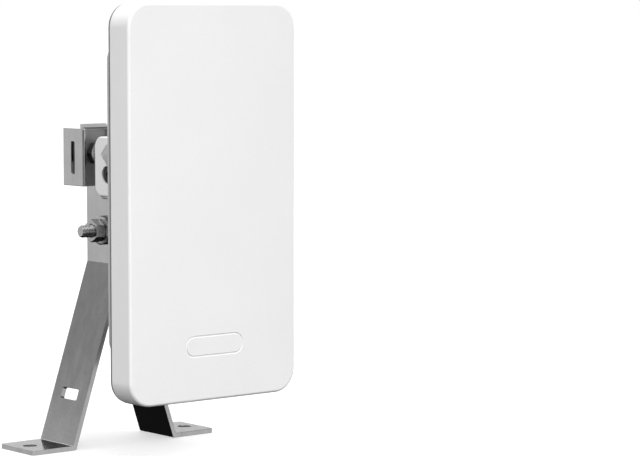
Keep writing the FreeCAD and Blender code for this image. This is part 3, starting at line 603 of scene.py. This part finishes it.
def fork_nut(node, size, y, z, edge):
    """Nut on the +X side of the fork, on the axis of the bolt or screw that it holds."""
    low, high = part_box(node)
    nut = Piece(along("X", low.x, y, z))
    nut.rings(nut_rings(size["flats"], high.x - low.x, size["d"]), joined=True)
    nut.build(node + "_cut", "fork", "zinc_fastener", [node], edge)


def pivot_hardware():
    """The tilt pivot's bolt, washer and nut, and the screw that squeezes the fork."""
    low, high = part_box("pivot_bolt")
    _, y, z = middle("pivot_bolt")
    head = 2.1 * MM
    bolt = Piece(along("-X", high.x, y, z))
    length = high.x - low.x - head
    threaded, plain_from = 9.0 * MM, 9.4 * MM
    rings = thread_rings(M6["d"], M6["pitch"], threaded, 0.7 * MM)
    plain = [circle(M6["d"] / 2, plain_from, 56), circle(M6["d"] / 2, length, 56)]
    bolt.rings([circle(1.8 * MM, 0, 56)] + rings + plain, capped=(True, True), fine=True)
    bolt.place = along("-X", low.x + head, y, z)
    corner = (high.z - low.z) / 2
    rings = [square(corner, 0), square(corner, head - 0.55 * MM), square(0.4 * MM, head)]
    bolt.rings(rings, capped=(True, True))
    bolt.build("pivot_bolt_cut", "fork", "zinc_fastener", ["pivot_bolt"], 0.12 * MM)

    low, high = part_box("pivot_washer")
    washer = Piece(along("X", low.x, y, z))
    washer.turned(washer_profile(M6["d"] / 2, 6.0 * MM, high.x - low.x), joined=True)
    washer.build("pivot_washer_cut", "fork", "zinc_fastener", ["pivot_washer"])

    fork_nut("pivot_nut", M6, y, z, 0.12 * MM)

    low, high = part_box("clamp_screw")
    _, y, z = middle("clamp_screw")
    head = 2.6 * MM
    screw = Piece(along("-X", high.x, y, z))
    length = high.x - low.x - head
    threaded, plain_from = 7.0 * MM, 7.3 * MM
    rings = thread_rings(M5["d"], M5["pitch"], threaded, 0.5 * MM, 48)
    plain = [circle(M5["d"] / 2, plain_from, 48), circle(M5["d"] / 2, length, 48)]
    screw.rings([circle(1.4 * MM, 0, 48)] + rings + plain, capped=(True, True), fine=True)
    screw.place = along("-X", low.x + head, y, z)
    count = 72
    outer = (high.z - low.z) / 2
    rim = 1.0 * MM
    dome = [(outer - rim * (1 - math.cos(a)), head - rim * (1 - math.sin(a))) for a in (0, 0.4, 0.8, 1.2)]
    socket = hexagon(M5["socket"], head, count=count)
    deep = [(px, py, head * 0.3) for px, py, _ in socket]
    rings = [circle(outer - 0.1 * MM, 0, count)] + [circle(r, level, count) for r, level in dome]
    rings += [circle(2.0 * MM, head, count), socket, deep, circle(0.2 * MM, head * 0.2, count)]
    screw.rings(rings, capped=(True, True))
    screw.build("clamp_screw_cut", "fork", "black_fastener", ["clamp_screw"], 0.08 * MM)

    fork_nut("clamp_nut", M5, y, z, 0.1 * MM)


def islands(node):
    """Boxes of the separate solids in one CAD node, from its connected faces."""
    mesh = frame["nodes"][node].data
    spots = [(round(v.co.x, 6), round(v.co.y, 6), round(v.co.z, 6)) for v in mesh.vertices]
    parent = {spot: spot for spot in spots}

    def top(spot):
        while parent[spot] != spot:
            parent[spot] = parent[parent[spot]]
            spot = parent[spot]
        return spot

    for face in mesh.polygons:
        first = top(spots[face.vertices[0]])
        for index in face.vertices[1:]:
            parent[top(spots[index])] = first
    groups = {}
    for spot in parent:
        groups.setdefault(top(spot), []).append(spot)
    boxes = []
    for group in groups.values():
        low = Vector([min(spot[i] for spot in group) for i in range(3)])
        high = Vector([max(spot[i] for spot in group) for i in range(3)])
        boxes.append((low, high))
    return sorted(boxes, key=lambda pair: (round(pair[0].x, 5), round(pair[0].z, 5)))


# Height of a pan head, as a share of its diameter.
PAN_HEIGHT = 0.35
# Cross recess, as shares of the head's radius and, for its depth, of the head's height.
CROSS_HALF_WIDTH = 0.15
CROSS_REACH = 0.62
CROSS_DEPTH = 0.62


def pan_screws(node, name, body, slot, shank, pitch):
    """Cross-recess pan-head screws in the places of a CAD node's solids, heads towards +Y."""
    screws = Piece(None)
    for low, high in islands(node):
        centre = (low + high) / 2
        radius = (high.x - low.x) / 2
        rise = radius * 2 * PAN_HEIGHT
        # The recess is turned by an angle worked out from the screw's place.
        turn = Matrix.Rotation(centre.x * 137 + centre.z * 211, 4, "Z")
        screws.place = along("Y", centre.x, high.y - rise, centre.z) @ turn
        count = 64
        rings = [circle(radius, 0, count)]
        for step in range(1, 15):
            share = 1 - step / 15
            ring = []
            for i in range(count):
                angle = TAU * i / count
                flat = radius * share
                px, py = flat * math.cos(angle), flat * math.sin(angle)
                height = rise * (1 - share ** 4) ** 0.5
                arm = min(abs(px), abs(py)) / (radius * CROSS_HALF_WIDTH)
                reach = flat / (radius * CROSS_REACH)
                dip = min(max(1.25 - arm, 0) * 4, 1) * min(max(1 - reach, 0) * 3.2, 1)
                ring.append((px, py, max(height - dip * rise * CROSS_DEPTH, 0.2 * MM)))
            rings.append(ring)
        screws.rings(rings, capped=(True, True))
        length = high.y - rise - low.y
        screws.place = along("Y", centre.x, low.y, centre.z)
        thread = thread_rings(shank, pitch, length, shank * 0.3, 32, 6)
        screws.rings(thread, capped=(True, True), fine=True)
    screws.build(name, body, slot, [node], 0.05 * MM, 40)


leg_hardware()
swivel_hardware()
pivot_hardware()
pan_screws("arm_screws", "arm_screws_cut", "panel", "screw_steel", 4.0 * MM, 1.4 * MM)
pan_screws("cover_screws", "cover_screws_cut", "panel", "screw_steel", 3.0 * MM, 1.1 * MM)
pan_screws("ground_screw", "ground_screw_cut", "panel", "brass_screw", 3.4 * MM, 0.7 * MM)


# ---------------------------------------------------------------- stage
# Light and dark bands of the surround as the steel mirrors them: height from 0 at the bottom to 1, and level.
SKY_IN_FRONT = [(0.30, 0.04), (0.36, 0.9), (0.42, 0.9), (0.475, 0.14), (0.80, 0.45)]
SKY_BEHIND = [
    (0.37, 0.01), (0.41, 0.74), (0.585, 0.86), (0.61, 0.32),
    (0.68, 0.48), (0.72, 0.06), (0.79, 0.06), (0.85, 0.8),
]


def floor_material():
    finish = Finish("pale floor", 0.6)
    cloud = finish.noise(0.25, 3.0)
    finish.colour(finish.mix(finish.remap(cloud, 0, 1), grey(0.58), grey(0.62)))
    finish.glow(0.5)
    finish.rough(finish.remap(cloud, 0.55, 0.65))
    return finish.material


def floor():
    size = 60.0
    mesh = bpy.data.meshes.new("floor")
    corners = [(-size, -size, 0), (size, -size, 0), (size, size, 0), (-size, size, 0)]
    mesh.from_pydata(corners, [], [(0, 1, 2, 3)])
    mesh.materials.append(floor_material())
    sheet = bpy.data.objects.new("floor", mesh)
    sheet.visible_glossy = False
    sheet.visible_diffuse = False
    bpy.context.collection.objects.link(sheet)


def bearing(azimuth, elevation):
    """Direction from the object, in degrees. Azimuth 0 is in front of the panel, 90 to its +X side."""
    a, e = math.radians(azimuth), math.radians(elevation)
    return Vector((math.sin(a) * math.cos(e), -math.cos(a) * math.cos(e), math.sin(e)))


def turn_to(item, look):
    """Turns a light or camera so that it looks along a direction."""
    item.rotation_mode = "QUATERNION"
    item.rotation_quaternion = look.to_track_quat("-Z", "Y")


def softbox(name, azimuth, elevation, distance, size, power, aim, mirrored=True):
    """Area light that looks at aim. One that isn't mirrored gives light but doesn't show in reflections."""
    data = bpy.data.lights.new(name, "AREA")
    data.shape = "RECTANGLE"
    data.size, data.size_y = size
    data.energy = power
    lamp = bpy.data.objects.new(name, data)
    back = bearing(azimuth, elevation)
    lamp.location = aim + back * distance
    turn_to(lamp, -back)
    lamp.visible_glossy = mirrored
    bpy.context.collection.objects.link(lamp)


def daylight(azimuth, elevation, strength, angle):
    """Broad even light from above the front, which also keeps the floor white to its far end."""
    data = bpy.data.lights.new("daylight", "SUN")
    data.energy = strength
    data.angle = math.radians(angle)
    lamp = bpy.data.objects.new("daylight", data)
    turn_to(lamp, -bearing(azimuth, elevation))
    bpy.context.collection.objects.link(lamp)


def surroundings():
    """A studio surround: white to the camera alone, and bands of light and dark card to everything else."""
    world = bpy.data.worlds.new("studio")
    bpy.context.scene.world = world
    world.use_nodes = True
    tree = world.node_tree
    link = tree.links.new

    def node(kind, **values):
        made = tree.nodes.new(kind)
        for name, value in values.items():
            made.inputs[name.replace("_", " ")].default_value = value
        return made

    def ramp(fac, stops):
        made = tree.nodes.new("ShaderNodeValToRGB")
        link(fac, made.inputs["Fac"])
        while len(made.color_ramp.elements) < len(stops):
            made.color_ramp.elements.new(0.5)
        for element, (position, level) in zip(made.color_ramp.elements, stops):
            element.position = position
            element.color = (level, level, level, 1)
        return made.outputs["Color"]

    def unit(socket):
        made = node("ShaderNodeMapRange", From_Min=-1.0)
        link(socket, made.inputs["Value"])
        return made.outputs["Result"]

    place = tree.nodes.new("ShaderNodeTexCoord")
    split = tree.nodes.new("ShaderNodeSeparateXYZ")
    link(place.outputs["Generated"], split.inputs["Vector"])
    height, depth = unit(split.outputs["Z"]), unit(split.outputs["Y"])
    both = tree.nodes.new("ShaderNodeMix")
    both.data_type = "RGBA"
    link(ramp(depth, [(0.42, 0.0), (0.60, 1.0)]), both.inputs["Factor"])
    link(ramp(height, SKY_IN_FRONT), both.inputs["A"])
    link(ramp(height, SKY_BEHIND), both.inputs["B"])
    seen = node("ShaderNodeBackground", Strength=1.0, Color=(1, 1, 1, 1))
    lit = tree.nodes["Background"]
    link(both.outputs["Result"], lit.inputs["Color"])
    path = tree.nodes.new("ShaderNodeLightPath")
    choose = tree.nodes.new("ShaderNodeMixShader")
    link(path.outputs["Is Camera Ray"], choose.inputs["Fac"])
    link(lit.outputs["Background"], choose.inputs[1])
    link(seen.outputs["Background"], choose.inputs[2])
    link(choose.outputs["Shader"], tree.nodes["World Output"].inputs["Surface"])


# The photograph's view: the camera's place in metres, and the bearing in degrees that it looks back from.
CAMERA_PLACE = (-0.949, -1.355, 0.2736)
CAMERA_BEARING = (-39.72, 4.73)


def camera():
    data = bpy.data.cameras.new("camera")
    data.lens = 145.5
    data.sensor_width = 36.0
    data.clip_start = 0.05
    data.clip_end = 200.0
    eye = bpy.data.objects.new("camera", data)
    eye.location = CAMERA_PLACE
    turn_to(eye, -bearing(*CAMERA_BEARING))
    bpy.context.collection.objects.link(eye)
    bpy.context.scene.camera = eye


floor()
surroundings()
camera()
MIDDLE = (CAD_BOX[0] + CAD_BOX[1]) / 2
softbox("left strip", -96, 6, 1.8, (0.8, 1.6), 11.8, MIDDLE, mirrored=False)
softbox("rear fill", 168, 32, 2.0, (1.4, 1.4), 9, MIDDLE)
softbox("key", -16, 8, 0.7, (0.4, 0.6), 1.4, MIDDLE)
softbox("overhead", 0, 88, 2.2, (2.4, 2.4), 18, MIDDLE)
daylight(-8, 50, 2.1, 45)
bpy.context.scene.view_settings.view_transform = "Standard"
